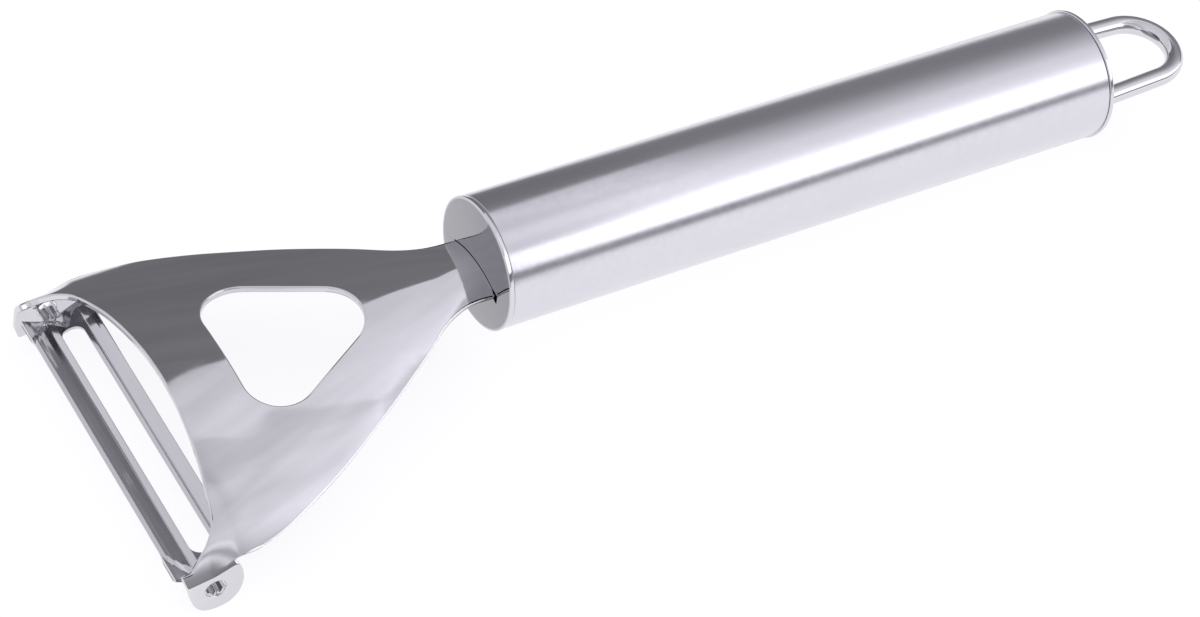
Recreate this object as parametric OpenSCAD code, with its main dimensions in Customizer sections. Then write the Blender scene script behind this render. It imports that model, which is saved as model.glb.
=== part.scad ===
// Vegetable peeler with a cross-wise swivel blade, all stainless steel.
// Built in the handle's own frame (x = 0 on the front cap's face, x growing
// towards the hanging loop, z up), then leaned back by rest_tilt so that the
// two ears and the rear rim stand on z = 0, the way the peeler lies on a table.

/* [Handle] */
// Outer diameter of the handle tube
tube_d = 20; // [18:0.5:22]
// Wall of the handle tube
tube_wall = 0.8; // [0.6:0.1:1]
// Length of the handle over both end caps
handle_len = 106.1; // [95:0.1:120]
// Thickness of the front cap's visible rim
front_rim = 0.75; // [0.6:0.05:1]
// How far the front rim stands proud of the tube
front_proud = 0.08; // [0:0.02:0.2]
// Thickness of the rear cap's visible rim
rear_rim = 0.65; // [0.5:0.05:1]
// How far the rear rim stands proud of the tube
rear_proud = 0.24; // [0.1:0.02:0.4]
// Depth of both caps' skirts inside the tube
skirt_len = 7; // [5:0.5:9]

/* [Head] */
// Thickness of the pressed sheet
sheet_t = 1; // [0.8:0.1:1.2]
// Half width of the tang that enters the handle
tang_half = 6.1; // [5.5:0.1:6.5]
// Length of tang inside the handle
tang_in = 7; // [5:0.5:9]
// Fall of the head's ridge line towards the blade, in degrees
ridge_fall = 3.04; // [2.5:0.02:3.5]
// Where the ridge line crosses the front cap's face
ridge_z = 0.44; // [0.2:0.02:0.8]
// Radius of the head's arch at the handle
arch_r0 = 13.9; // [13.5:0.1:14.5]
// Radius of the head's arch half way along
arch_r1 = 48.8; // [46:0.2:50]
// Radius of the head's arch at the front edge
arch_r2 = 59.9; // [58:0.1:62]
// Distance over which those three radii are given
arch_run = 50; // [49:0.5:51]
// How far the two arms are rolled down below the arch
arm_droop = 0.25; // [0.2:0.01:0.3]
// Corner radius at the two front corners of the window
window_r = 5.3; // [4.6:0.1:5.8]
// Corner radius at the window's point
window_tip_r = 6; // [5.2:0.1:6.6]

/* [Ears and pivot] */
// Pivot axis: distance in front of the cap's face
pivot_x = 53.72; // [53.4:0.02:54]
// Pivot axis: height below the handle's axis
pivot_drop = 13.94; // [13.8:0.02:14.1]
// Outer width over both ears
ear_span = 57.46; // [57.2:0.02:57.6]
// Radius of each ear
ear_r = 4.4; // [4.2:0.1:4.6]
// Diameter of the pivot holes
pivot_hole_d = 3; // [2.9:0.02:3.1]

/* [Blade] */
// Length of the blade between its shoulders
blade_len = 52.3; // [51.5:0.1:53]
// Thickness of the blade strip
blade_t = 0.6; // [0.5:0.05:0.7]
// Length of the slot between the two cutting edges
slot_len = 45; // [42:0.5:46]
// Blade's lean about its pivots in the drawn position, in degrees
blade_lean = 10; // [4:1:14]
// Diameter of the blade's two journals
journal_d = 2.86; // [2.82:0.01:2.88]

/* [Hanging loop] */
// Wire diameter
wire_d = 2.94; // [2.8:0.02:3]
// Radius of the loop's bend, to the middle of the wire
loop_r = 6.4; // [6.2:0.1:6.5]
// How far the loop reaches behind the rear cap
loop_reach = 19.4; // [18:0.1:21]
// Half distance between the legs at the rear cap, to the middle of the wire
leg_half = 6.95; // [6.8:0.05:7]
// Height of the loop above the handle's axis
loop_z = 0.6; // [0.3:0.1:0.8]

/* [Hidden] */
$fn = 96;

tube_r = tube_d / 2;
bore_r = tube_r - tube_wall;
skirt_r = bore_r - 0.03;
skirt_wall = 0.6;
face_t = 1.1;      // thickness of the front cap's face
rear_face_t = 1.6; // thickness of the rear cap's face, which holds the wire
ear_in = ear_span / 2 - sheet_t;
ear_out = ear_span / 2;
rear_r = tube_r + rear_proud;

// lean that puts both ears and the rear rim on one plane
rest_run = handle_len + pivot_x;
rest_rise = pivot_drop - rear_r;
rest_tilt = asin(ear_r / sqrt(rest_run * rest_run + rest_rise * rest_rise))
          + atan2(rest_rise, rest_run);
// lowest point after the lean, and the middle of the whole length
low_z = -handle_len * sin(rest_tilt) - rear_r * cos(rest_tilt);
front_end = -pivot_x * cos(rest_tilt) - pivot_drop * sin(rest_tilt)
          - (ear_r + 0.25);
back_end = (handle_len + loop_reach - wire_d / 2) * cos(rest_tilt)
         + loop_z * sin(rest_tilt) + wire_d / 2;
mid_x = (front_end + back_end) / 2;

// ---- the head's arched surface: a falling ridge with a radius that opens out ----
function arch_r(x) = let (u = max(0, -x / arch_run))
    arch_r0 + (4 * arch_r1 - 3 * arch_r0 - arch_r2) * u
            + (2 * arch_r0 + 2 * arch_r2 - 4 * arch_r1) * u * u;
function ease(a, b, v) = let (t = min(1, max(0, (v - a) / (b - a)))) t * t * (3 - 2 * t);
// past v = 0 this grows as v does, before it hardly at all
function past(v, k) = (v + sqrt(v * v + k)) / 2;
arm_dip = 0.09;   // extra fall of the arms in front of the front edge
function droop(x, y) = (arm_droop + arm_dip * past(-49.5 - x, 1))
        * ease(14.5, 21.5, abs(y)) * ease(14, 26, -x)
    + 0.037 * pow(past(abs(y) - 24.5, 0.5), 2);
function top_z(x, y) = ridge_z + x * tan(ridge_fall) - y * y / (2 * arch_r(x))
    - droop(x, y);
// unit normal of that surface
function top_n(x, y) = let (e = 0.05,
        gx = (top_z(x + e, y) - top_z(x - e, y)) / (2 * e),
        gy = (top_z(x, y + e) - top_z(x, y - e)) / (2 * e), v = [-gx, -gy, 1])
    v / norm(v);

// smooth curve through a few stations
function spline(p, n) = [for (i = [0 : len(p) - 2]) for (k = [0 : n - 1])
    let (t = k / n, a = p[max(0, i - 1)], b = p[i], c = p[i + 1],
         d = p[min(len(p) - 1, i + 2)])
    0.5 * (2 * b + (c - a) * t + (2 * a - 5 * b + 4 * c - d) * t * t
           + (3 * b - a - 3 * c + d) * t * t * t)];

// half outline of the head in plan: tang, waist, arm, then the front edge
side_pts = [[0, tang_half], [-3, tang_half], [-5.5, 6.6], [-9, 8.2],
            [-14, 11.75], [-22, 16.85], [-32, 22.5], [-41, 26.55], [-46.8, 28.2]];
front_pts = [[-58.1, 28.4], [-56.5, 27.1], [-55.3, 26.3], [-53.6, 25], [-51.9, 22.6],
             [-50.75, 17.5], [-49.9, 12], [-49.3, 6], [-49.1, 0]];
plate_edge = ear_in - 0.3;
function clip_y(p) = [for (q = p) [q[0], min(q[1], plate_edge)]];
function unit(v) = v / norm(v);
// n points at equal steps along a path, its last point left out
function steps(p, n) =
    let (cum = [for (i = 0, s = 0; i < len(p);
            s = s + (i < len(p) - 1 ? norm(p[i + 1] - p[i]) : 0), i = i + 1) s],
         lx = [for (i = [0 : len(p) - 1]) [cum[i], p[i][0]]],
         ly = [for (i = [0 : len(p) - 1]) [cum[i], p[i][1]]],
         all = cum[len(p) - 1])
    [for (k = [0 : n - 1]) [lookup(all * k / n, lx), lookup(all * k / n, ly)]];
function arc(c, r, a0, a1, n) =
    [for (k = [0 : n]) c + r * [cos(a0 + (a1 - a0) * k / n), sin(a0 + (a1 - a0) * k / n)]];

// triangular window: sharp corners, rounded by circles that roll inside
win_tip = [-12.5, 0];
win_corner = [-39.5, 15.5];
win_side = unit(win_corner - win_tip);
side_a = atan2(win_side[0] * -1, win_side[1]) ;  // direction the side faces
tip_c = win_tip - [window_tip_r / sin(90 - side_a), 0];
corner_half = (180 - side_a) / 2;                 // half of the turn at a corner
corner_c = [win_corner[0] + window_r,
            win_corner[1] - window_r * tan(corner_half)];

// the plate as a ring around its window: three matched runs a half
n_tang = 5;
n_side = 26;
n_front = 16;
n_rad = 5;
outer_half = concat(
    steps([[tang_in, 0], [tang_in, tang_half]], n_tang),
    steps(concat([[tang_in, tang_half]], clip_y(spline(side_pts, 6)),
                 [[-58.1, plate_edge]]), n_side),
    steps(concat(clip_y(spline(front_pts, 6)), [[-49.1, 0]]), n_front),
    [[-49.1, 0]]);
inner_half = concat(
    steps(arc(tip_c, window_tip_r, 0, side_a * 0.7, 6), n_tang),
    steps(concat(arc(tip_c, window_tip_r, side_a * 0.7, side_a, 3),
                 arc(corner_c, window_r, side_a, 125, 8)), n_side),
    steps(concat(arc(corner_c, window_r, 125, 180, 8), [[win_corner[0], 0]]), n_front),
    [[win_corner[0], 0]]);
n_half = n_tang + n_side + n_front;
n_ring = 2 * n_half;
function full(h, i) = i <= n_half ? h[i] : [h[n_ring - i][0], -h[n_ring - i][1]];
plate_pts = [for (s = [0, 1]) for (j = [0 : n_rad]) for (i = [0 : n_ring - 1])
    let (p = full(inner_half, i) + (full(outer_half, i) - full(inner_half, i)) * j / n_rad,
         q = [p[0], p[1], top_z(p[0], p[1])])
    s == 0 ? q : q - sheet_t * top_n(p[0], p[1])];
function pid(s, j, i) = s * (n_rad + 1) * n_ring + j * n_ring + (i % n_ring);
function tri2(a, b, c, d) = [[a, b, c], [a, c, d]];
plate_faces = [for (i = [0 : n_ring - 1]) each concat(
    [for (j = [0 : n_rad - 1]) each concat(
        tri2(pid(0, j, i), pid(0, j, i + 1), pid(0, j + 1, i + 1), pid(0, j + 1, i)),
        tri2(pid(1, j, i), pid(1, j + 1, i), pid(1, j + 1, i + 1), pid(1, j, i + 1)))],
    tri2(pid(0, 0, i), pid(1, 0, i), pid(1, 0, i + 1), pid(0, 0, i + 1)),
    tri2(pid(0, n_rad, i), pid(0, n_rad, i + 1), pid(1, n_rad, i + 1), pid(1, n_rad, i)))];

module place() {
    translate([-mid_x, 0, -low_z]) rotate([0, rest_tilt, 0]) children();
}
module along_x(x, len, r) {
    translate([x, 0, 0]) rotate([0, 90, 0]) cylinder(h = len, r = r);
}

// ---- head ----
module plate() {
    polyhedron(points = plate_pts, faces = plate_faces, convexity = 4);
}
// round arch of the tang where it passes the front cap, grown by g
module tang_arch(g) {
    translate([0, 0, ridge_z - arch_r0]) rotate([0, 90 - ridge_fall, 0])
        translate([0, 0, -6]) difference() {
            cylinder(h = 16, r = arch_r0 + g);
            translate([0, 0, -1]) cylinder(h = 18, r = arch_r0 - sheet_t - g);
        }
}
// one ear: a strip that leaves the arm, bends down and ends in a round lug
hook_y0 = ear_in - 1.3;
hook_fall = atan(tan(ridge_fall) + arm_dip);
bend_r = 2;
bend_a = 35;   // slope at which the strip leaves the arm
bend_y = ear_out - bend_r;
bend_c = [bend_y, top_z(-pivot_x, bend_y + bend_r * sin(bend_a)) - 0.1
                  - bend_r * cos(bend_a)];
module hook() {
    polygon(concat(
        [[hook_y0, top_z(-pivot_x, hook_y0) - 0.3],
         [bend_y + 0.2, top_z(-pivot_x, bend_y + 0.2) - 0.3]],
        [for (a = [bend_a : 13 : 90]) bend_c + bend_r * [sin(a), cos(a)]],
        [[ear_out, -pivot_drop - ear_r - 1], [ear_in, -pivot_drop - ear_r - 1]],
        [for (a = [90 : -11 : 35]) bend_c + (bend_r - sheet_t) * [sin(a), cos(a)]],
        [[bend_y + 0.2, top_z(-pivot_x, bend_y + 0.2) - sheet_t + 0.15],
         [hook_y0, top_z(-pivot_x, hook_y0) - sheet_t + 0.2]]));
}
module ear() {
    difference() {
        intersection() {
            translate([-pivot_x, 0, 0]) rotate([0, -hook_fall, 0])
                translate([6, 0, 0]) rotate([90, 0, -90])
                linear_extrude(12) mirror([1, 0, 0]) hook();
            translate([-pivot_x, 0, -pivot_drop]) rotate([-90, 0, 0])
                linear_extrude(40) {
                    circle(r = ear_r);
                    translate([-ear_r, -9]) square([2 * ear_r, 9]);
                }
        }
        pivot_bore();
    }
}
module pivot_bore() {
    translate([-pivot_x, 0, -pivot_drop]) rotate([-90, 0, 0])
        translate([0, 0, -40]) cylinder(h = 80, d = pivot_hole_d);
}
module head_frame() {
    color([0.62, 0.61, 0.64]) place() union() {
        plate();
        ear();
        mirror([0, 1, 0]) ear();
    }
}

// ---- blade: pressed strip, dished, with a slot and two journals ----
// section points run across the blade, u towards the handle, h up
dish = [[-4.4, 2.05], [-3.6, 1.9], [-2.5, 1.25], [-1.3, 0.75], [-0.3, 0.5],
        [1.3, 0.35], [2.95, 0.5], [4, 0.85], [5, 1.45], [5.7, 1.75]];
slot_u = [-0.33, 2.95];
module strip(path, len) {
    n = len(path);
    translate([0, len / 2, 0]) rotate([90, 0, 0]) linear_extrude(len)
        polygon(concat(path, [for (i = [n - 1 : -1 : 0])
            path[i] - blade_t * unit(
                let (d = unit(path[min(n - 1, i + 1)] - path[max(0, i - 1)]))
                [-d[1], d[0]])]));
}
module journal() {
    rotate([-90, 0, 0]) translate([0, 0, blade_len / 2 - 0.4])
        cylinder(h = ear_out - blade_len / 2 + 0.5, d = journal_d);
    // neck that ties the journal to the dished end
    translate([-1.1, blade_len / 2 - 2.4, -0.9]) cube([2.2, 2.4, 1.5]);
}
module blade() {
    color([0.52, 0.51, 0.54]) place()
        translate([-pivot_x, 0, -pivot_drop]) rotate([0, -blade_lean, 0])
        union() {
            difference() {
                strip(dish, blade_len);
                translate([slot_u[0], -slot_len / 2, -3])
                    cube([slot_u[1] - slot_u[0], slot_len, 6]);
            }
            journal();
            mirror([0, 1, 0]) journal();
        }
}

// ---- handle ----
module front_cap() {
    color([0.70, 0.69, 0.71]) place() difference() {
        union() {
            along_x(0, front_rim, tube_r + front_proud);
            along_x(0, skirt_len, skirt_r);
        }
        along_x(face_t, skirt_len, skirt_r - skirt_wall);
        intersection() {
            tang_arch(0.2);
            translate([-1, -tang_half - 0.2, -4])
                cube([3, 2 * tang_half + 0.4, 6]);
        }
    }
}
module handle_tube() {
    color([0.78, 0.77, 0.80]) place() difference() {
        along_x(front_rim, handle_len - front_rim - rear_rim, tube_r);
        along_x(front_rim - 1, handle_len + 2, bore_r);
    }
}
leg_lean = asin((leg_half - loop_r) / (loop_reach - loop_r - wire_d / 2));
bend_x = handle_len + loop_reach - wire_d / 2 - loop_r;
tan_x = bend_x + loop_r * sin(leg_lean);
tan_y = loop_r * cos(leg_lean);
leg_len = (tan_x - handle_len + rear_face_t) / cos(leg_lean);
module legs(r, extra, lead) {
    for (s = [0, 1]) mirror([0, s, 0]) translate([tan_x, tan_y, loop_z])
        rotate([0, 0, -leg_lean]) rotate([0, -90, 0]) translate([0, 0, -lead])
            cylinder(h = leg_len + extra + lead, r = r);
}
module rear_cap() {
    color([0.74, 0.73, 0.76]) place() difference() {
        union() {
            along_x(handle_len - rear_rim, rear_rim, rear_r);
            along_x(handle_len - skirt_len, skirt_len, skirt_r);
        }
        along_x(handle_len - skirt_len - 1, skirt_len + 1 - rear_face_t,
                skirt_r - skirt_wall);
        legs(wire_d / 2 + 0.03, 1, 0);
    }
}
module hanging_loop() {
    color([0.80, 0.79, 0.82]) place() union() {
        legs(wire_d / 2 - 0.01, 0, 0.3);
        translate([bend_x, 0, loop_z]) rotate([0, 0, -90 + leg_lean])
            rotate_extrude(angle = 180 - 2 * leg_lean) translate([loop_r, 0])
                circle(d = wire_d, $fn = 48);
    }
}
// ---- welds inside the handle ----
module tang_weld() {
    color([0.45, 0.44, 0.46]) place() difference() {
        intersection() {
            tang_arch(1);
            translate([face_t, -tang_half - 0.9, -5])
                cube([1.3, 2 * tang_half + 1.8, 8]);
        }
        intersection() {
            tang_arch(0.1);
            translate([0, -tang_half - 0.05, -5]) cube([4, 2 * tang_half + 0.1, 8]);
        }
    }
}
module loop_welds() {
    color([0.45, 0.44, 0.46]) place() difference() {
        for (s = [-1, 1]) intersection() {
            translate([handle_len - rear_face_t, s * 6.4, loop_z])
                sphere(r = 1.9, $fn = 48);
            translate([handle_len - rear_face_t - 3, s * 6.4 - 3, loop_z - 3])
                cube([3, 6, 6]);
        }
        legs(wire_d / 2 + 0.02, 0.02, 0);
    }
}

head_frame();
blade();
front_cap();
handle_tube();
rear_cap();
hanging_loop();
tang_weld();
loop_welds();
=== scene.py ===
import math

import bmesh
import bpy
import numpy as np
from mathutils import Matrix, Vector


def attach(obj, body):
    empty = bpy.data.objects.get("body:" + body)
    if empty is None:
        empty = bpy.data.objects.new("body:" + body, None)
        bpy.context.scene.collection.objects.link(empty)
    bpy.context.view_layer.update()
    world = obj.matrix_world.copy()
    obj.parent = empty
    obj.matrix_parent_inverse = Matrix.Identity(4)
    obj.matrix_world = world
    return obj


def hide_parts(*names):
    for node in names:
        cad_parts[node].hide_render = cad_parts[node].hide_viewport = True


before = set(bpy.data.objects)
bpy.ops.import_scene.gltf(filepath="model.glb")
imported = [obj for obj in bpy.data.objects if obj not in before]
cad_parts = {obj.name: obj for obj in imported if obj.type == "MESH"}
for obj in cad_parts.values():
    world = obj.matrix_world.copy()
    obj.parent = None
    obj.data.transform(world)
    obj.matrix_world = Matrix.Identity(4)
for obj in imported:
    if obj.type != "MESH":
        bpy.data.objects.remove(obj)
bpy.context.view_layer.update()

# ---------------------------------------------------------------------------
# The peeler is drawn in the handle's own frame, in millimetres: x = 0 on the
# front cap's face, x growing towards the hanging loop, z up. place() leans it
# back so that both ears and the rear rim stand on the floor.
# ---------------------------------------------------------------------------
TUBE_R, LEN = 10.0, 106.1
PIV = (-53.72, -13.94)
EAR_OUT, SHEET = 28.73, 1.0
REAR_R = TUBE_R + 0.24
EAR_R = 4.4

run, rise = LEN - PIV[0], -PIV[1] - REAR_R
TILT = math.asin(EAR_R / math.hypot(run, rise)) + math.atan2(rise, run)
LOW = -LEN * math.sin(TILT) - REAR_R * math.cos(TILT)
FRONT = PIV[0] * math.cos(TILT) + PIV[1] * math.sin(TILT) - (EAR_R + 0.25)
BACK = (LEN + 19.4 - 1.47) * math.cos(TILT) + 0.6 * math.sin(TILT) + 1.47
MID = (FRONT + BACK) / 2
CT, ST = math.cos(TILT), math.sin(TILT)
# the handle's axis in row coordinates that are only leaned into its frame, in metres
AXIS_AT = ((-MID * CT + LOW * ST) / 1000, 0.0, (-MID * ST - LOW * CT) / 1000)


def place(p):
    """Handle frame in mm to the row frame in metres."""
    p = np.asarray(p, float)
    x, y, z = p[..., 0], p[..., 1], p[..., 2]
    return np.stack([x * CT + z * ST - MID, y, -x * ST + z * CT - LOW], -1) / 1000


def turn(v):
    """A direction in the handle frame to the row frame."""
    v = np.asarray(v, float)
    x, y, z = v[..., 0], v[..., 1], v[..., 2]
    return np.stack([x * CT + z * ST, y, -x * ST + z * CT], -1)


def mesh_object(name, verts, faces, material, body, replaced, normals=None, sharp=None, more=()):
    """A piece from points in the handle frame, with its own vertex normals or with edges sharp past an angle."""
    if normals is None:
        me = raw_mesh(name, verts, faces)
    else:
        me = bpy.data.meshes.new(name)
        me.from_pydata([tuple(v) for v in place(verts)], [], [tuple(int(i) for i in f) for f in faces])
    return finish_piece(name, me, material, body, replaced, normals, sharp, more)


def finish_piece(name, me, material, body, replaced, normals=None, sharp=None, more=()):
    """more holds (material, faces) for faces that don't take the first material."""
    me.polygons.foreach_set("use_smooth", [True] * len(me.polygons))
    if normals is not None:
        me.normals_split_custom_set_from_vertices([tuple(v) for v in turn(normals)])
    elif sharp is not None:
        me.set_sharp_from_angle(angle=math.radians(sharp))
    me.materials.clear()
    me.materials.append(material)
    which = np.zeros(len(me.polygons), int)
    for k, (extra, mask) in enumerate(more):
        me.materials.append(extra)
        which[mask] = k + 1
    me.polygons.foreach_set("material_index", which.tolist())
    ob = bpy.data.objects.new(name, me)
    bpy.context.scene.collection.objects.link(ob)
    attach(ob, body)
    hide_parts(replaced)
    return ob


def cut_mesh(name, me, cutters):
    """The mesh with closed solids taken out of it."""
    made = []
    ob = bpy.data.objects.new(name + "_blank", me)
    bpy.context.scene.collection.objects.link(ob)
    made.append(ob)
    for i, (verts, faces) in enumerate(cutters):
        co = bpy.data.objects.new(name + "_cut%d" % i, raw_mesh(name + "_cut%d" % i, verts, faces))
        bpy.context.scene.collection.objects.link(co)
        made.append(co)
        mod = ob.modifiers.new("cut%d" % i, "BOOLEAN")
        mod.operation, mod.object, mod.solver = "DIFFERENCE", co, "EXACT"
    out = bpy.data.meshes.new_from_object(ob.evaluated_get(bpy.context.evaluated_depsgraph_get()))
    out.name = name
    for o in made:
        data = o.data
        bpy.data.objects.remove(o)
        bpy.data.meshes.remove(data)
    return out


def raw_mesh(name, verts, faces):
    """A closed mesh from points in the handle frame, every face turned outward."""
    me = bpy.data.meshes.new(name)
    me.from_pydata([tuple(v) for v in place(verts)], [], [tuple(int(i) for i in f) for f in faces])
    bm = bmesh.new()
    bm.from_mesh(me)
    bmesh.ops.recalc_face_normals(bm, faces=bm.faces)
    bm.to_mesh(me)
    bm.free()
    return me


def lathe(profile, n):
    """A closed profile of (x, radius) turned about the handle's axis."""
    p = np.asarray(profile, float)
    a = np.linspace(0, 2 * math.pi, n, endpoint=False)
    v = np.stack([np.repeat(p[:, 0][:, None], n, 1), p[:, 1][:, None] * np.cos(a), p[:, 1][:, None] * np.sin(a)], -1)
    m = len(p)
    f = [(i * n + j, ((i + 1) % m) * n + j, ((i + 1) % m) * n + (j + 1) % n, i * n + (j + 1) % n) for i in range(m) for j in range(n)]
    return v.reshape(-1, 3), f


def turned_disc(profile, n):
    """An open profile that starts and ends on the axis, turned about it."""
    p = np.asarray(profile, float)
    a = np.linspace(0, 2 * math.pi, n, endpoint=False)
    inner = p[1:-1]
    v = np.stack([np.repeat(inner[:, 0][:, None], n, 1), inner[:, 1][:, None] * np.cos(a), inner[:, 1][:, None] * np.sin(a)], -1).reshape(-1, 3)
    v = np.concatenate([v, [[p[0, 0], 0, 0], [p[-1, 0], 0, 0]]])
    m = len(inner)
    f = [(i * n + j, i * n + (j + 1) % n, (i + 1) * n + (j + 1) % n, (i + 1) * n + j) for i in range(m - 1) for j in range(n)]
    f += [(m * n, (j + 1) % n, j) for j in range(n)]
    f += [(m * n + 1, (m - 1) * n + j, (m - 1) * n + (j + 1) % n) for j in range(n)]
    return v, f


def rounded(points, radii, n=4):
    """A polyline with its inner corners rounded."""
    p = np.asarray(points, float)
    out = [p[0]]
    for i in range(1, len(p) - 1):
        r = radii[i - 1]
        if not r:
            out.append(p[i])
            continue
        u, v = p[i - 1] - p[i], p[i + 1] - p[i]
        u, v = u / np.linalg.norm(u), v / np.linalg.norm(v)
        half = math.acos(float(np.clip(np.dot(u, v), -1, 1))) / 2
        cut = r / math.tan(half)
        c = p[i] + (u + v) / np.linalg.norm(u + v) * (r / math.sin(half))
        a0, a1 = p[i] + u * cut - c, p[i] + v * cut - c
        t0, t1 = math.atan2(a0[1], a0[0]), math.atan2(a1[1], a1[0])
        while t1 - t0 > math.pi:
            t1 -= 2 * math.pi
        while t1 - t0 < -math.pi:
            t1 += 2 * math.pi
        out += [c + r * np.array([math.cos(t), math.sin(t)]) for t in np.linspace(t0, t1, n + 1)]
    out.append(p[-1])
    return np.array(out)


def smoothstep(a, b, x):
    t = np.clip((np.asarray(x, float) - a) / (b - a), 0, 1)
    return t * t * (3 - 2 * t)


def spline(points, n):
    """A smooth curve through the points, n steps a span."""
    p = np.asarray(points, float)
    out = []
    for i in range(len(p) - 1):
        a, b, c, d = p[max(0, i - 1)], p[i], p[i + 1], p[min(len(p) - 1, i + 2)]
        for k in range(n):
            t = k / n
            out.append(0.5 * (2 * b + (c - a) * t + (2 * a - 5 * b + 4 * c - d) * t * t
                              + (3 * b - a - 3 * c + d) * t ** 3))
    out.append(p[-1])
    return np.array(out)


def resample(path, n, weights=None):
    """n points at equal steps along a path, both ends kept."""
    path = np.asarray(path, float)
    s = np.r_[0, np.cumsum(np.linalg.norm(np.diff(path, axis=0), axis=1))]
    t = np.linspace(0, s[-1], n)
    return np.stack([np.interp(t, s, path[:, k]) for k in range(path.shape[1])], -1)


def arc(c, r, a0, a1, n):
    a = np.radians(np.linspace(a0, a1, n))
    return np.stack([c[0] + r * np.cos(a), c[1] + r * np.sin(a)], -1)


# ---------------------------------------------------------------------------
# Sheet metal: a surface laid out flat in two directions, its open edges rounded
# ---------------------------------------------------------------------------
def boundary_loops(faces):
    """Ordered vertex loops of the open edges, in the faces' own direction."""
    seen = {}
    for f in faces:
        for a, b in zip(f, f[1:] + f[:1]):
            seen[(a, b)] = 1
    nxt = {a: b for (a, b) in seen if (b, a) not in seen}
    loops = []
    while nxt:
        a0, b = next(iter(nxt.items()))
        loop = [a0]
        del nxt[a0]
        while b != a0:
            loop.append(b)
            b = nxt.pop(b)
        loops.append(loop)
    return loops


def weld(patches):
    """Joins (points, faces) patches laid out in the plane; every face is turned to face up."""
    index, pts, faces = {}, [], []
    for P, F in patches:
        local = []
        for p in P:
            key = (round(float(p[0]), 5), round(float(p[1]), 5))
            if key not in index:
                index[key] = len(pts)
                pts.append(key)
            local.append(index[key])
        for f in F:
            g = []
            for i in f:
                if local[i] not in g:
                    g.append(local[i])
            if len(g) > 2:
                faces.append(g)
    pts = np.array(pts)
    good = []
    for f in faces:
        q = pts[f]
        area = np.sum(q[:, 0] * np.roll(q[:, 1], -1) - np.roll(q[:, 0], -1) * q[:, 1])
        good.append(f if area > 0 else f[::-1])
    return pts, good


def ring_faces(n, m, closed=True):
    """Quads of m + 1 rings of n points each."""
    f = []
    for j in range(m):
        for i in range(n if closed else n - 1):
            a, b = j * n + i, j * n + (i + 1) % n
            f.append([a, b, b + n, a + n])
    return f


def ring_patch(inner, outer, m, edge, closed=True):
    """m even steps from one run of points to another, with a first and last step of a fixed length."""
    L = np.linalg.norm(outer - inner, axis=1)[:, None]
    rings = [inner, inner + (outer - inner) * edge / L]
    for k in np.linspace(0, 1, m - 1)[1:-1]:
        rings.append(inner + (outer - inner) * (edge / L + k * (1 - 2 * edge / L)))
    rings += [outer - (outer - inner) * edge / L, outer]
    return np.concatenate(rings), ring_faces(len(inner), m, closed)


def thick_sheet(P, N, faces, t, r, rb=None, steps=4):
    """Closed sheet of thickness t below the surface P with normals N; open edges are rounded by r above, rb below."""
    P, N = np.asarray(P, float), np.asarray(N, float)
    rb = r if rb is None else rb
    n = len(P)
    t = np.broadcast_to(np.asarray(t, float), (n,))[:, None]
    top, bot = P.copy(), P - t * N
    out = [list(f) for f in faces] + [[n + i for i in f[::-1]] for f in faces]
    more_v, more_n = [], []
    base = 2 * n
    for loop in boundary_loops([list(f) for f in faces]):
        L = np.array(loop)
        m = len(L)
        e = P[np.roll(L, -1)] - P[np.roll(L, 1)]
        T = np.cross(e, N[L])
        T /= np.linalg.norm(T, axis=1, keepdims=True)
        top[L] = P[L] - r * T
        bot[L] = P[L] - rb * T - t[L] * N[L]
        rings = []
        for k in range(1, steps + 1):
            a = math.pi / 2 * k / steps
            rings.append((P[L] + r * (math.sin(a) - 1) * T - r * (1 - math.cos(a)) * N[L], math.sin(a) * T + math.cos(a) * N[L]))
        for k in range(steps):
            a = math.pi / 2 * k / steps
            rings.append((P[L] + rb * (math.cos(a) - 1) * T - (t[L] - rb + rb * math.sin(a)) * N[L], math.cos(a) * T - math.sin(a) * N[L]))
        prev = L
        for pos, nor in rings + [(None, None)]:
            if pos is None:
                idx = n + L
            else:
                idx = base + np.arange(m)
                more_v.append(pos)
                more_n.append(nor)
                base += m
            for i in range(m):
                j = (i + 1) % m
                out.append([prev[j], prev[i], idx[i], idx[j]])
            prev = idx
    return np.concatenate([top, bot] + more_v), np.concatenate([N, -N] + more_n), out


def numeric_normal(fn, a, b, e=0.02):
    n = np.cross(fn(a + e, b) - fn(a - e, b), fn(a, b + e) - fn(a, b - e))
    return n / np.linalg.norm(n, axis=-1, keepdims=True)


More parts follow.
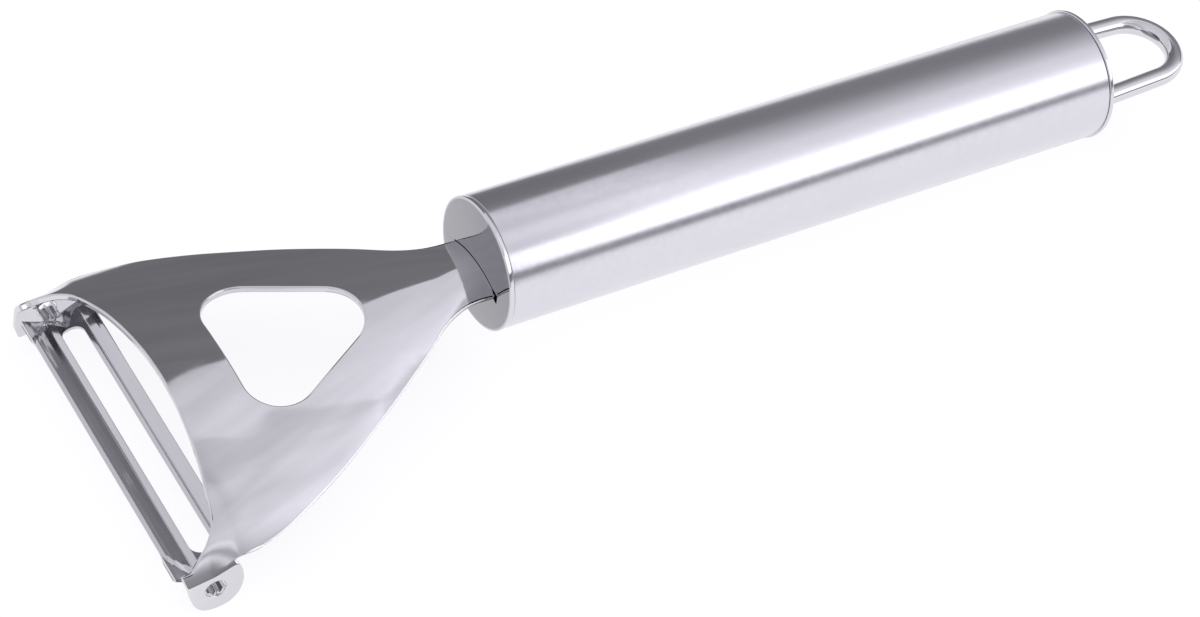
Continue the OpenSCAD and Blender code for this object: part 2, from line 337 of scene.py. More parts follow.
# ---------------------------------------------------------------------------
# Materials
# ---------------------------------------------------------------------------
class Nodes:
    def __init__(self, name):
        self.m = bpy.data.materials.new(name)
        self.m.use_nodes = True
        self.t = self.m.node_tree
        self.t.nodes.clear()
        self.out = self.add("ShaderNodeOutputMaterial")
        self.bsdf = self.add("ShaderNodeBsdfPrincipled")
        self.link(self.bsdf.outputs[0], self.out.inputs[0])
        self.coord = self.add("ShaderNodeTexCoord").outputs["Object"]

    def add(self, kind, **kw):
        n = self.t.nodes.new(kind)
        for k, v in kw.items():
            setattr(n, k, v)
        return n

    def link(self, a, b):
        self.t.links.new(a, b)

    def frame_coord(self, scale):
        """Object coordinates leaned into the handle's frame, then scaled along its axes."""
        a = self.add("ShaderNodeMapping", vector_type="POINT")
        a.inputs["Rotation"].default_value = (0, -TILT, 0)
        self.link(self.coord, a.inputs[0])
        b = self.add("ShaderNodeMapping", vector_type="POINT")
        b.inputs["Scale"].default_value = scale
        self.link(a.outputs[0], b.inputs[0])
        return b.outputs[0]

    def noise(self, scale3, detail=3.0, rough=0.55, distort=0.0, offset=(0, 0, 0)):
        n = self.add("ShaderNodeTexNoise")
        n.inputs["Scale"].default_value = 1.0
        n.inputs["Detail"].default_value = detail
        n.inputs["Roughness"].default_value = rough
        n.inputs["Distortion"].default_value = distort
        v = self.frame_coord(scale3)
        if any(offset):
            o = self.add("ShaderNodeVectorMath", operation="ADD")
            o.inputs[1].default_value = offset
            self.link(v, o.inputs[0])
            v = o.outputs[0]
        self.link(v, n.inputs["Vector"])
        return n.outputs["Fac"]

    def remap(self, fac, a, b, lo=0.0, hi=1.0):
        n = self.add("ShaderNodeMapRange")
        n.inputs["From Min"].default_value = lo
        n.inputs["From Max"].default_value = hi
        n.inputs["To Min"].default_value = a
        n.inputs["To Max"].default_value = b
        self.link(fac, n.inputs["Value"])
        return n.outputs[0]

    def math(self, op, a, b=None):
        n = self.add("ShaderNodeMath", operation=op)
        for i, v in enumerate((a, b)):
            if v is None:
                continue
            if isinstance(v, (int, float)):
                n.inputs[i].default_value = v
            else:
                self.link(v, n.inputs[i])
        return n.outputs[0]

    def mix(self, fac, a, b):
        n = self.add("ShaderNodeMix", data_type="RGBA")
        for key, v in (("Factor", fac), ("A", a), ("B", b)):
            s = [i for i in n.inputs if i.name == key and (i.type == "VALUE" if key == "Factor" else i.type == "RGBA")][0]
            if isinstance(v, (tuple, list)):
                s.default_value = v
            elif isinstance(v, (int, float)):
                s.default_value = v
            else:
                self.link(v, s)
        return [o for o in n.outputs if o.type == "RGBA"][0]

    def bump(self, height, strength, distance, normal=None):
        n = self.add("ShaderNodeBump")
        n.inputs["Strength"].default_value = strength
        n.inputs["Distance"].default_value = distance
        self.link(height, n.inputs["Height"])
        if normal is not None:
            self.link(normal, n.inputs["Normal"])
        return n.outputs[0]


def steel(name, tint, tint2, rough_lo, rough_hi, grain, grain_bump, scratch_bump=0.0, aniso=0.0, rim=None):
    """Stainless steel: a tint that drifts a little, drawn grain along grain (scale per metre on x, y, z),
    fine handling scratches, and roughness that follows both."""
    k = Nodes(name)
    b = k.bsdf
    b.inputs["Metallic"].default_value = 1.0
    b.inputs["Anisotropic"].default_value = aniso
    cloud = k.noise((38, 55, 55), 3.0, 0.55)
    g = k.noise(grain, 4.0, 0.65)
    tone = k.math("ADD", k.math("MULTIPLY", cloud, 0.6), k.math("MULTIPLY", g, 0.4))
    colour = k.mix(k.remap(tone, 0, 1, 0.32, 0.68), tint, tint2)
    if rim:                                     # brighter rim colour away from the handle's axis; on the cap the darker tint inside it is painted shade, the rim keeps the plain steel tone
        o = k.add("ShaderNodeVectorMath", operation="SUBTRACT")
        o.inputs[1].default_value = AXIS_AT
        k.link(k.frame_coord((1, 1, 1)), o.inputs[0])
        flat = k.add("ShaderNodeVectorMath", operation="MULTIPLY")
        flat.inputs[1].default_value = (0, 1, 1)
        k.link(o.outputs[0], flat.inputs[0])
        size = k.add("ShaderNodeVectorMath", operation="LENGTH")
        k.link(flat.outputs[0], size.inputs[0])
        colour = k.mix(k.remap(size.outputs["Value"], 0, 1, 0.0096, 0.0100), colour, rim)
    k.link(colour, b.inputs["Base Color"])
    rough = k.math("ADD", k.remap(g, 0, (rough_hi - rough_lo) * 0.7, 0.3, 0.7), k.remap(cloud, rough_lo, rough_lo + (rough_hi - rough_lo) * 0.3, 0.3, 0.7))
    k.link(rough, b.inputs["Roughness"])
    normal = k.bump(g, grain_bump, 0.00002)
    if scratch_bump:
        s1 = k.noise((90, 2400, 900), 2.0, 0.5, 0.6, (3.1, 0, 0))
        s2 = k.noise((2000, 120, 900), 2.0, 0.5, 0.8, (0, 7.7, 0))
        thin = k.math("MAXIMUM", k.remap(s1, 0, 1, 0.66, 0.74), k.remap(s2, 0, 1, 0.68, 0.76))
        normal = k.bump(thin, scratch_bump, 0.00001, normal)
    k.link(normal, b.inputs["Normal"])
    return k.m



def polished_sheet():
    """Mirror polish over a pressed sheet: long curved buffing waves along both arms, besides the fine grain."""
    m = steel("pressed_sheet", (0.73, 0.72, 0.755, 1), (0.69, 0.68, 0.715, 1), 0.035, 0.075, (500, 900, 500), 0.03, 0.03)
    k = Nodes.__new__(Nodes)
    k.m, k.t = m, m.node_tree
    k.bsdf = next(n for n in k.t.nodes if n.type == "BSDF_PRINCIPLED")
    k.coord = next(n for n in k.t.nodes if n.type == "TEX_COORD").outputs["Object"]
    first = k.bsdf.inputs["Normal"].links[0].from_socket
    waves = k.noise((95, 230, 95), 0.6, 0.5, 0.7, (0.4, 1.7, 0))
    k.link(k.bump(waves, 0.5, 0.00007, first), k.bsdf.inputs["Normal"])
    at = k.add("ShaderNodeSeparateXYZ")
    k.link(k.frame_coord((1, 1, 1)), at.inputs[0])
    band_at = k.add("ShaderNodeCombineXYZ")
    k.link(k.math("MULTIPLY", at.outputs[0], 38), band_at.inputs[0])
    across_arm = k.math("ADD", k.math("ABSOLUTE", at.outputs[1]), k.math("MULTIPLY", at.outputs[0], 0.30))
    k.link(k.math("MULTIPLY", across_arm, 330), band_at.inputs[1])
    bands = k.add("ShaderNodeTexNoise")
    for key, v in (("Scale", 1.0), ("Detail", 1.6), ("Roughness", 0.5), ("Distortion", 0.35)):
        bands.inputs[key].default_value = v
    k.link(band_at.outputs[0], bands.inputs["Vector"])
    plain = k.bsdf.inputs["Base Color"].links[0].from_socket
    k.link(k.mix(k.remap(bands.outputs[0], 0, 1, 0.36, 0.70), plain, (0.635, 0.627, 0.657, 1)), k.bsdf.inputs["Base Color"])
    return m


# painted shade: the mill-finish underside takes a dark tint that stands in for the shadowed floor it reflects; its
# rougher finish is real
M_UNDER = steel("mill_finish_and_painted_shade", (0.27, 0.265, 0.28, 1), (0.22, 0.217, 0.23, 1), 0.22, 0.34, (700, 300, 700), 0.12)
M_HEAD = polished_sheet()
# painted highlight: near-white tint standing in for the reflected light along the side edges; the matt roughness of a
# sheared edge is real
M_EDGE = steel("sheared_edge_and_painted_highlight", (0.93, 0.92, 0.94, 1), (0.86, 0.85, 0.87, 1), 0.38, 0.50, (900, 900, 300), 0.20)
M_BLADE = steel("blade_strip", (0.68, 0.67, 0.70, 1), (0.60, 0.59, 0.62, 1), 0.07, 0.14, (700, 60, 700), 0.10, 0.03)
M_TUBE = steel("satin_tube", (0.72, 0.71, 0.755, 1), (0.68, 0.67, 0.71, 1), 0.17, 0.24, (900, 900, 900), 0.16)
# painted shade: the cap's tint is made dark to stand in for the shadowed floor and the head's shade that its face
# reflects; the rim colour is plain steel
M_CAP = steel("cap_sheet_painted_shade", (0.345, 0.34, 0.36, 1), (0.31, 0.305, 0.325, 1), 0.05, 0.10, (600, 600, 600), 0.05, 0.02, rim=(0.70, 0.69, 0.72, 1))
M_WIRE = steel("drawn_wire", (0.73, 0.72, 0.75, 1), (0.67, 0.66, 0.69, 1), 0.05, 0.11, (60, 60, 900), 0.05, 0.02)
M_WELD = steel("weld_metal", (0.40, 0.38, 0.37, 1), (0.30, 0.29, 0.31, 1), 0.25, 0.45, (1500, 1500, 1500), 0.5)

# ---------------------------------------------------------------------------
# Head: one pressed sheet. The flat blank's outline is laid on the arched top
# surface; past the bend lines the blank turns down into the ears.
# ---------------------------------------------------------------------------
T_FALL = math.tan(math.radians(3.04))
BEND_R = 2.0           # outer radius of the bend into each ear


def arch_r(x):
    u = np.maximum(0, -np.asarray(x, float) / 50)
    return 13.9 + (4 * 48.8 - 3 * 13.9 - 59.9) * u + (2 * 13.9 + 2 * 59.9 - 4 * 48.8) * u * u


def top_z(x, y):
    """Height of the outer surface: a falling ridge whose arch opens out, with the arms rolled down a little more."""
    a = np.abs(y)
    front = -49.5 - np.asarray(x, float)
    front = (front + np.sqrt(front * front + 1.0)) / 2
    roll = (a - 24.5 + np.sqrt((a - 24.5) ** 2 + 0.5)) / 2
    lip = (a - 25.4 + np.sqrt((a - 25.4) ** 2 + 0.4)) / 2
    droop = ((0.25 + 0.09 * front) * smoothstep(14.5, 21.5, a) * smoothstep(-14.0, -26.0, x) + 0.037 * roll * roll
             + 0.10 * lip * lip * smoothstep(-50.0, -54.5, x))
    return 0.44 + x * T_FALL - a * a / (2 * arch_r(x)) - droop


def bend_start(x):
    """Sideways place and slope where the bend into the ear starts."""
    y = np.full(np.shape(x), 28.0)
    for _ in range(12):
        sl = np.arctan((top_z(x, y - 0.01) - top_z(x, y + 0.01)) / 0.02)
        y = EAR_OUT - BEND_R + BEND_R * np.sin(sl)
    return y, sl


def press_marks(x, y):
    """The slight unevenness that pressing and polishing leave, in mm."""
    return (0.020 * np.sin(0.30 * x + 0.9) * np.cos(0.21 * y - 0.6)
            + 0.012 * np.sin(0.52 * x - 0.37 * y + 1.9) + 0.007 * np.sin(0.83 * y + 0.41 * x + 0.4))


def sheet_point(x, s):
    """Point on the outer surface for a place (x, s) on the flat blank, s being the sideways reach."""
    x, s = np.broadcast_arrays(np.asarray(x, float), np.asarray(s, float))
    a_s = np.abs(s)
    ys, sl = bend_start(x)
    over = np.maximum(0, a_s - ys) / np.cos(sl)       # length past the bend's start
    full = (math.pi / 2 - sl) * BEND_R
    ang = sl + np.minimum(over, full) / BEND_R
    past = np.maximum(0, over - full)
    cy, cz = ys - BEND_R * np.sin(sl), top_z(x, ys) - BEND_R * np.cos(sl)
    y = np.where(a_s <= ys, a_s, cy + BEND_R * np.sin(ang))
    z = np.where(a_s <= ys, top_z(x, a_s), cz + BEND_R * np.cos(ang) - past)
    flat = smoothstep(-3.5, -8.0, x) * smoothstep(27.6, 24.5, a_s)
    return np.stack([x, np.sign(s) * y, z + flat * press_marks(x, s)], -1)


def drop_to_s(x, z):
    """Sideways reach on the blank of a point at height z on the ear's flat."""
    ys, sl = bend_start(x)
    flat = top_z(x, ys) - BEND_R * np.cos(sl)
    return ys + ((math.pi / 2 - sl) * BEND_R + (flat - z)) * np.cos(sl)


# ear outlines about the hole, (a along x, b up): rear side down, round, front side up
EAR_NEAR = [(3.05, 4.2), (3.75, 2.9), (4.1, 1.6), (4.2, 0.3), (4.02, -1.1), (3.45, -2.45), (2.4, -3.55),
            (0.9, -4.12), (-0.7, -4.15), (-1.95, -3.7), (-3.0, -2.5), (-3.7, -0.6), (-4.15, 1.4), (-4.45, 2.8), (-4.6, 3.7)]
EAR_FAR = [(3.05, 4.2), (3.75, 2.9), (4.1, 1.6), (4.2, 0.3), (4.02, -1.1), (3.45, -2.5), (2.4, -3.35),
           (1.0, -3.7), (-0.8, -3.85), (-2.6, -3.98), (-3.7, -4.15), (-4.2, -4.2), (-4.42, -4.0), (-4.7, -3.1),
           (-4.93, -2.2), (-4.9, -1.2), (-4.8, 0.6), (-4.72, 2.3), (-4.65, 3.7)]
SIDE = [(0, 6.1), (-3, 6.1), (-5.5, 6.6), (-9, 8.2), (-14, 11.75), (-22, 16.85), (-32, 22.5), (-41, 26.55), (-46.8, 28.05)]
FRONT_EDGE = [(-56.7, 27.3), (-55.3, 26.3), (-53.6, 25.0), (-51.9, 22.6), (-50.75, 17.5), (-49.9, 12), (-49.3, 6), (-49.1, 0)]
HOLE_R = 1.5


def window_half():
    tip, corner = np.array([-12.5, 0.0]), np.array([-39.5, 15.5])
    d = corner - tip
    d = d / np.linalg.norm(d)
    face = math.degrees(math.atan2(-d[0], d[1]))
    rt, rc = 6.0, 5.3
    tc = tip - np.array([rt / math.sin(math.radians(90 - face)), 0])
    half = math.radians((180 - face) / 2)
    cc = np.array([corner[0] + rc, corner[1] - rc * math.tan(half)])
    return np.concatenate([arc(tc, rt, 0, face, 40), arc(cc, rc, face, 180, 60), [[corner[0], 0.0]]])


def split_at(path, x):
    """A run of points cut in two where it passes x."""
    p = np.asarray(path, float)
    i = int(np.argmax((p[:-1, 0] - x) * (p[1:, 0] - x) <= 0))
    k = (x - p[i, 0]) / (p[i + 1, 0] - p[i, 0])
    q = p[i] + (p[i + 1] - p[i]) * k
    return np.concatenate([p[:i + 1], [q]]), np.concatenate([[q], p[i + 1:]])


def across(a, b, n, edge):
    """n + 1 places from a to b as shares of the way, first and last step of a fixed length."""
    e = edge / np.linalg.norm(np.subtract(b, a))
    return np.r_[0, np.linspace(e, 1 - e, n - 1), 1]


def head_half(ear):
    """One half of the blank, s above 0: plate round the window, arm, and the ring round the ear's hole."""
    e = spline(ear, 10)
    ex = PIV[0] + e[:, 0]
    lug = np.stack([ex, drop_to_s(ex, PIV[1] + e[:, 1])], -1)
    rear = spline([SIDE[-2], SIDE[-1], lug[0], lug[10]], 12)[12:25]
    front = spline([lug[-11], lug[-1], FRONT_EDGE[0], FRONT_EDGE[1]], 12)[12:25]
    side, arm_rear = split_at(np.concatenate([spline(SIDE, 12), rear[1:]]), -43.0)
    arm_front, edge = split_at(np.concatenate([front, spline(FRONT_EDGE, 12)[1:]]), -52.0)
    n_t, n_s, n_k, n_f, n_rad, n_arm = 16, 84, 34, 56, 40, 40
    A, B = side[-1], edge[0]
    root = A + (B - A) * across(A, B, n_k, 1.25)[:, None]
    neck = lug[0] + (lug[-1] - lug[0]) * across(lug[0], lug[-1], n_k, 1.25)[:, None]
    outer = np.concatenate([
        resample([(7.0, 0.0), (7.0, 6.1)], n_t + 1)[:-1],
        resample(np.concatenate([[(7.0, 6.1)], side]), n_s + 1)[:-1],
        root[:-1], resample(edge, n_f + 1)])
    w = resample(window_half(), 600)
    d = np.r_[0, np.cumsum(np.linalg.norm(np.diff(w, axis=0), axis=1))]
    keys = np.cumsum([0, n_t, n_s, n_k, n_f])
    t = np.interp(np.arange(keys[-1] + 1), keys, np.array([0, 0.035, 0.585, 0.70, 1.0]) * d[-1])
    inner = np.stack([np.interp(t, d, w[:, 0]), np.interp(t, d, w[:, 1])], -1)
    patches = [ring_patch(inner, outer, n_rad, 0.45, closed=False)]
    r_run, f_run = resample(arm_rear, n_arm + 1), resample(arm_front[::-1], n_arm + 1)
    rows = [root]
    for j in range(1, n_arm):
        rows.append(r_run[j] + (f_run[j] - r_run[j]) * across(r_run[j], f_run[j], n_k, 1.25)[:, None])
    rows.append(neck)
    patches.append((np.concatenate(rows), ring_faces(n_k + 1, n_arm, closed=False)))
    n_l, m = 96, 24
    loop = np.concatenate([resample(lug, n_l + 1)[:-1], neck[::-1][:-1]])
    ys, sl = bend_start(loop[:, 0])
    z = top_z(loop[:, 0], ys) - BEND_R * np.cos(sl) + (math.pi / 2 - sl) * BEND_R - (loop[:, 1] - ys) / np.cos(sl)
    a = np.arctan2(z - PIV[1], loop[:, 0] - PIV[0])
    hx = PIV[0] + HOLE_R * np.cos(a)
    hole = np.stack([hx, drop_to_s(hx, PIV[1] + HOLE_R * np.sin(a))], -1)
    patches.append(ring_patch(hole, loop, m, 0.42))
    return patches


HEAD_FACES = [0]       # how many faces the top side has


def build_head():
    patches = []
    for ear, sign in ((EAR_FAR, 1), (EAR_NEAR, -1)):
        for P, F in head_half(ear):
            patches.append((P * [1, sign], F))
    pts, faces = weld(patches)
    HEAD_FACES[0] = len(faces)
    x, s = pts[:, 0], pts[:, 1]
    return thick_sheet(sheet_point(x, s), numeric_normal(sheet_point, x, s), faces, SHEET, 0.28, 0.20)


# ---------------------------------------------------------------------------
# Blade: one pressed strip. u runs across it towards the handle, h up. Its
# middle is dished, its ends are pinched to a V that runs out in two tongues.
# ---------------------------------------------------------------------------
BLADE_T = 0.55
BLADE_LEAN = math.radians(10)
RAILS = [(-4.45, 2.0), (-3.85, 2.03), (-3.68, 1.96), (-3.1, 1.52), (-2.3, 1.02), (-1.5, 0.74), (-1.3, 0.70), (-0.33, 0.71),
         (0.8, 0.42), (1.9, 0.42), (2.95, 0.52), (3.58, 0.60), (3.70, 0.47), (3.84, 0.66), (4.85, 1.27), (4.98, 1.32), (5.55, 1.62)]
END_V = [(-4.45, 2.05), (-1.25, -0.30), (-0.1, -0.95), (1.0, -0.20), (1.3, 0.10), (5.55, 1.85)]
TONGUE = [(-1.25, 0.15), (-0.95, 0.0), (-0.60, -0.80), (-0.10, 0.05), (0.42, -0.80), (0.95, 0.02), (1.25, 0.14)]
TURN_AT = [(-4.45, 22.1), (-1.25, 26.0), (0.2, 26.1), (1.0, 25.6), (5.6, 24.5)]
TURN_RUN = [(-4.45, 1.3), (-1.25, 1.4), (0.2, 2.6), (1.0, 2.6), (5.6, 2.2)]
HALF_END, SLOT_HALF, TONGUE_END = 26.15, 22.5, 28.9


def poly(p, u, soft=0.0):
    p = np.asarray(p, float)
    f = lambda q: np.interp(q, p[:, 0], p[:, 1])
    return f(u) if not soft else (f(u - soft) + 2 * f(u) + f(u + soft)) / 4


def blade_h(u, y):
    a = np.abs(y)
    t = np.clip((a - poly(TURN_AT, u)) / poly(TURN_RUN, u) + 1, 0, 1)
    h = poly(RAILS, u, 0.03) * (1 - t) + poly(END_V, u, 0.05) * t
    w = smoothstep(HALF_END - 0.25, HALF_END + 0.65, a)
    return h * (1 - w) + poly(TONGUE, u, 0.06) * w


def blade_point(u, y):
    u, y = np.broadcast_arrays(np.asarray(u, float), np.asarray(y, float))
    h = blade_h(u, y)
    c, s = math.cos(BLADE_LEAN), math.sin(BLADE_LEAN)
    return np.stack([PIV[0] + u * c - h * s, y, PIV[1] + u * s + h * c], -1)


def build_blade():
    n_y, n_a, n_w, n_b, r = 60, 26, 22, 30, 1.55
    slot = np.concatenate([
        [(-0.33, 0.0)], arc((-0.33 + r, SLOT_HALF - r), r, 180, 90, 16), arc((2.95 - r, SLOT_HALF - r), r, 90, 0, 16), [(2.95, 0.0)]])
    runs = [([(-4.45, 0.0), (-4.45, HALF_END)], n_y), ([(-4.45, HALF_END), (-1.25, HALF_END)], n_a),
            ([(-1.25, HALF_END), (1.25, HALF_END)], n_w), ([(1.25, HALF_END), (5.55, HALF_END)], n_b),
            ([(5.55, HALF_END), (5.55, 0.0)], n_y)]
    outer = np.concatenate([resample(p, k + 1)[:-1] for p, k in runs] + [[(5.55, 0.0)]])
    d = np.r_[0, np.cumsum(np.linalg.norm(np.diff(slot, axis=0), axis=1))]
    straight = SLOT_HALF - r
    turn_len = d[-1] - 2 * straight
    at = [0, straight, straight + turn_len * 0.40, straight + turn_len * 0.62, d[-1] - straight, d[-1]]
    t = np.interp(np.arange(len(outer)), np.cumsum([0] + [k for _, k in runs]), at)
    inner = np.stack([np.interp(t, d, slot[:, 0]), np.interp(t, d, slot[:, 1])], -1)
    patches = [ring_patch(inner, outer, 30, 0.16, closed=False)]
    base = outer[n_y + n_a:n_y + n_a + n_w + 1]
    rows = np.concatenate([np.linspace(HALF_END, TONGUE_END - 0.16, 20), [TONGUE_END]])
    cols = base[:, 0].copy()
    cols[1], cols[-2] = cols[0] + 0.14, cols[-1] - 0.14
    tong = [np.stack([base[:, 0] if k == 0 else cols, np.full(n_w + 1, yy)], -1) for k, yy in enumerate(rows)]
    patches.append((np.concatenate(tong), ring_faces(n_w + 1, len(rows) - 1, closed=False)))
    pts, faces = weld(patches + [(P * [1, -1], F) for P, F in patches])
    u, y = pts[:, 0], pts[:, 1]
    t = BLADE_T - 0.2 * smoothstep(HALF_END - 0.6, HALF_END + 0.4, np.abs(y))
    return thick_sheet(blade_point(u, y), numeric_normal(blade_point, u, y, 0.01), faces, t, 0.07)


verts, normals, faces = build_head()
at = np.array([verts[list(f)].mean(0) for f in faces])
facing = np.array([normals[list(f)].mean(0) for f in faces])
order = np.arange(len(faces))
# the underside of the plate kept its mill finish and is coloured dark as painted shade, standing in for the shadowed
# floor it reflects; the sheared side edges are matt, and they are coloured near white as a painted highlight
n_top = HEAD_FACES[0]
under = (order >= n_top) & (order < 2 * n_top) & (np.abs(at[:, 1]) < EAR_OUT - 2.2)
under |= (order >= 2 * n_top) & (facing[:, 2] < -0.12) & (np.abs(at[:, 1]) < EAR_OUT - 2.2)
# painted highlight: the sheared side edges and their rounded top edges get a near-white colour that stands in for the
# white strip of reflected light along them; their matt roughness is real
sheared_and_highlight = (order >= 2 * n_top) & (facing[:, 0] > 0.12) & (np.abs(facing[:, 1]) > 0.45) & (np.abs(facing[:, 2]) < 0.75) \
    & (at[:, 0] > -47.5) & (at[:, 0] < -2.0) & (at[:, 1] * facing[:, 1] > 0) & (np.abs(at[:, 1]) > np.interp(-at[:, 0], (0, 8, 47), (5, 6, 26)))
# painted highlight: the edge faces by each ear's neck get the same bright colour, to cover a dark reflected crease
sheared_and_highlight |= (order >= 2 * n_top) & (facing[:, 0] > 0.3) & (np.abs(facing[:, 2]) < 0.75) & (at[:, 0] > -54) & (at[:, 0] < -44) \
    & (np.abs(at[:, 1]) > 24) & (np.abs(at[:, 1]) < EAR_OUT - 1.2)
sheared_and_highlight &= ~under
mesh_object("head_sheet", verts, faces, M_HEAD, "handle_body", "head_frame", normals=normals,
            more=((M_UNDER, under), (M_EDGE, sheared_and_highlight)))
verts, normals, faces = build_blade()
mesh_object("blade_strip", verts, faces, M_BLADE, "blade_body", "blade", normals=normals)

# ---------------------------------------------------------------------------
# Handle: turned caps, tube and bent wire
# ---------------------------------------------------------------------------
FRONT_RIM, REAR_RIM, WALL, SKIRT = 0.75, 0.65, 0.8, 7.0
BORE_R = TUBE_R - WALL
SKIRT_R = BORE_R - 0.03
N_TURN = 256

# tube, its ends turned to a small chamfer
x0, x1 = FRONT_RIM + 0.06, LEN - REAR_RIM - 0.06
profile = rounded([(50, TUBE_R), (x1, TUBE_R), (x1, BORE_R), (x0, BORE_R), (x0, TUBE_R), (50, TUBE_R)], [0.12, 0.1, 0.1, 0.12])[:-1]
verts, faces = lathe(profile[:, :], N_TURN)
mesh_object("handle_sleeve", verts, faces, M_TUBE, "handle_body", "handle_tube", sharp=45)

# front cap with the arched slot that lets the tang through
fr = TUBE_R + 0.08
profile = rounded([(0, 0), (0, fr), (FRONT_RIM, fr), (FRONT_RIM, SKIRT_R), (SKIRT, SKIRT_R), (SKIRT, SKIRT_R - 0.6), (1.1, SKIRT_R - 0.6), (1.1, 0)],
                  [0.2, 0.1, 0, 0.2, 0.2, 0])
verts, faces = turned_disc(profile, N_TURN)
blank = raw_mesh("front_disc", verts, faces)


def slot_cutter():
    ys = np.linspace(-6.5, 6.35, 60)
    yc = np.clip(ys, -6.1, 6.1)
    top = top_z(0, yc) + 0.15 + 0.22 * smoothstep(-4.7, -5.9, ys)
    bot = top_z(0, yc) - SHEET - 0.17
    ring = np.concatenate([np.stack([ys, top], -1), np.stack([ys, bot], -1)[::-1]])
    n = len(ring)
    v = np.concatenate([np.stack([np.full(n, x), ring[:, 0], ring[:, 1] + x * T_FALL], -1) for x in (-1.0, 2.5)])
    f = [(i, (i + 1) % n, n + (i + 1) % n, n + i) for i in range(n)] + [tuple(range(n))[::-1], tuple(range(n, 2 * n))]
    return v, f


me = cut_mesh("front_disc_cut", blank, [slot_cutter()])
finish_piece("front_disc", me, M_CAP, "handle_body", "front_cap", sharp=40)

# rear cap with the two wire holes
WIRE_R, LOOP_R, LOOP_REACH, LEG_HALF, LOOP_Z, REAR_FACE = 1.47, 6.4, 19.4, 6.95, 0.6, 1.6
BEND_X = LEN + LOOP_REACH - WIRE_R - LOOP_R
LEG_LEAN = math.asin((LEG_HALF - LOOP_R) / (LOOP_REACH - LOOP_R - WIRE_R))
TAN_X, TAN_Y = BEND_X + LOOP_R * math.sin(LEG_LEAN), LOOP_R * math.cos(LEG_LEAN)
profile = rounded([(LEN, 0), (LEN, REAR_R), (LEN - REAR_RIM, REAR_R), (LEN - REAR_RIM, SKIRT_R), (LEN - SKIRT, SKIRT_R),
                   (LEN - SKIRT, SKIRT_R - 0.6), (LEN - REAR_FACE, SKIRT_R - 0.6), (LEN - REAR_FACE, 0)], [0.22, 0.14, 0, 0.2, 0.2, 0])
verts, faces = turned_disc(profile[::-1], N_TURN)
blank = raw_mesh("rear_disc", verts, faces)


def sweep(path, radius, n=40):
    """A round rod along a path, with its radial normals."""
    p = np.asarray(path, float)
    r = np.broadcast_to(np.asarray(radius, float), (len(p),))
    t = np.gradient(p, axis=0)
    t /= np.linalg.norm(t, axis=1, keepdims=True)
    up = np.array([0, 0, 1.0])
    side = np.cross(up, t)
    side /= np.linalg.norm(side, axis=1, keepdims=True)
    top = np.cross(t, side)
    a = np.linspace(0, 2 * math.pi, n, endpoint=False)
    rad = side[:, None, :] * np.cos(a)[None, :, None] + top[:, None, :] * np.sin(a)[None, :, None]
    v = (p[:, None, :] + rad * r[:, None, None]).reshape(-1, 3)
    m = len(p)
    f = [(i * n + j, i * n + (j + 1) % n, (i + 1) * n + (j + 1) % n, (i + 1) * n + j) for i in range(m - 1) for j in range(n)]
    f += [tuple(range(n))[::-1], tuple((m - 1) * n + j for j in range(n))]
    return v, rad.reshape(-1, 3), f


def leg_cutter(side):
    d = np.array([-math.cos(LEG_LEAN), side * math.sin(LEG_LEAN), 0])
    p0 = np.array([TAN_X, side * TAN_Y, LOOP_Z])
    ts = [(TAN_X - LEN) / math.cos(LEG_LEAN) + k for k in (-2.0, -0.001, 0.14, 6.0)]
    v, _, f = sweep([p0 + d * t for t in ts], [WIRE_R + 0.05 + 0.14, WIRE_R + 0.05 + 0.14, WIRE_R + 0.05, WIRE_R + 0.05], 48)
    return v, f


me = cut_mesh("rear_disc_cut", blank, [leg_cutter(1), leg_cutter(-1)])
finish_piece("rear_disc", me, M_CAP, "handle_body", "rear_cap", sharp=40)

bend = [(BEND_X + LOOP_R * math.sin(a), -LOOP_R * math.cos(a), LOOP_Z) for a in np.linspace(LEG_LEAN, math.pi - LEG_LEAN, 90)]
leg_len = (TAN_X - LEN + REAR_FACE) / math.cos(LEG_LEAN)
legs = []
for side in (-1, 1):
    d = np.array([-math.cos(LEG_LEAN), side * math.sin(LEG_LEAN), 0])
    legs.append([np.array([TAN_X, side * TAN_Y, LOOP_Z]) + d * t for t in np.linspace(leg_len, 0, 24)[:-1]])
path = np.array(legs[0] + [np.array(p) for p in bend] + legs[1][::-1])
verts, normals, faces = sweep(path, WIRE_R, 48)
ob = mesh_object("loop_wire", verts, faces, M_WIRE, "handle_body", "hanging_loop", sharp=50)

for n in ("tang_weld", "loop_welds"):
    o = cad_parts[n]
    o.data.materials.clear()
    o.data.materials.append(M_WELD)


# ---------------------------------------------------------------------------
# Floor, light and camera
# ---------------------------------------------------------------------------
floor_me = bpy.data.meshes.new("floor")
floor_me.from_pydata([(-0.30, -0.42, 0), (0.34, -0.42, 0), (0.34, 0.06, 0), (-0.30, 0.06, 0)], [], [(0, 1, 2, 3)])
floor = bpy.data.objects.new("floor", floor_me)
bpy.context.scene.collection.objects.link(floor)
k = Nodes("pale_floor")
k.bsdf.inputs["Roughness"].default_value = 0.7
k.bsdf.inputs["Specular IOR Level"].default_value = 0.1
k.bsdf.inputs["Emission Color"].default_value = (1.0, 0.995, 1.015, 1)
k.bsdf.inputs["Emission Strength"].default_value = 0.84
k.link(k.mix(k.noise((30, 30, 30), 3.0), (0.24, 0.24, 0.242, 1), (0.25, 0.25, 0.25, 1)), k.bsdf.inputs["Base Color"])
floor_me.materials.append(k.m)

